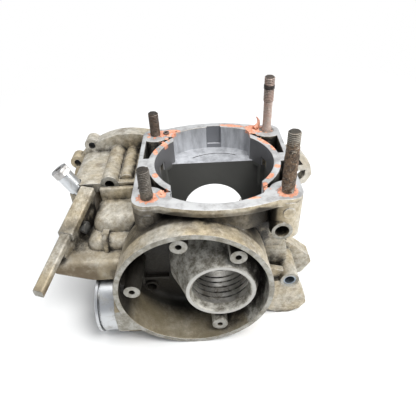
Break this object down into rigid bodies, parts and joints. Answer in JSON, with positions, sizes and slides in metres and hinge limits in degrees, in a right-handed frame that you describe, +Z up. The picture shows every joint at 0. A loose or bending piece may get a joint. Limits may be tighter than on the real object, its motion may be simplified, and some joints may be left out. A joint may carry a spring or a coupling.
{
  "type": "engine crankcase",
  "caption": "Stripped single-cylinder engine crankcase: two castings with a studded cylinder seat, round flywheel cup, crank mouth, gearbox side and mounting lugs.",
  "frame": {"origin": "centre of the cylinder seat, on its machined face", "axes": "+Z up out of the seat along the cylinder; +Y along the crankshaft, from the flywheel cup to the drive tray; +X towards the mounting lugs"},
  "size_m": [0.2601, 0.1696, 0.2031],
  "materials": {
    "cast_aluminium": "rough cast, oxidised",
    "machined_aluminium": "turned",
    "machined_steel": "turned",
    "stud_steel": "rusty thread",
    "fitting_steel": "worn plating",
    "sealant": "matt"
  },
  "bodies": {
    "root": {"flywheel_side_case": "cast_aluminium", "drive_side_case": "cast_aluminium", "stud_collar": "stud_steel", "seat_dowel": "machined_steel", "joint_pin_left": "machined_steel", "joint_pin_right": "machined_steel", "tube_dowel": "machined_steel", "lug_bush": "machined_steel", "spigot_sleeve": "machined_aluminium", "seal_sleeve": "machined_steel", "bearing_race": "machined_steel", "bearing_circlip": "machined_steel", "cable_fitting": "fitting_steel", "fitting_nut": "fitting_steel", "rail_screw": "fitting_steel", "stud_front_left": "stud_steel", "sealant_front_left": "sealant", "stud_front_right": "stud_steel", "sealant_front_right": "sealant", "stud_back_left": "stud_steel", "sealant_back_left": "sealant", "stud_back_right": "stud_steel", "sealant_back_right": "sealant"}
  },
  "joints": []
}
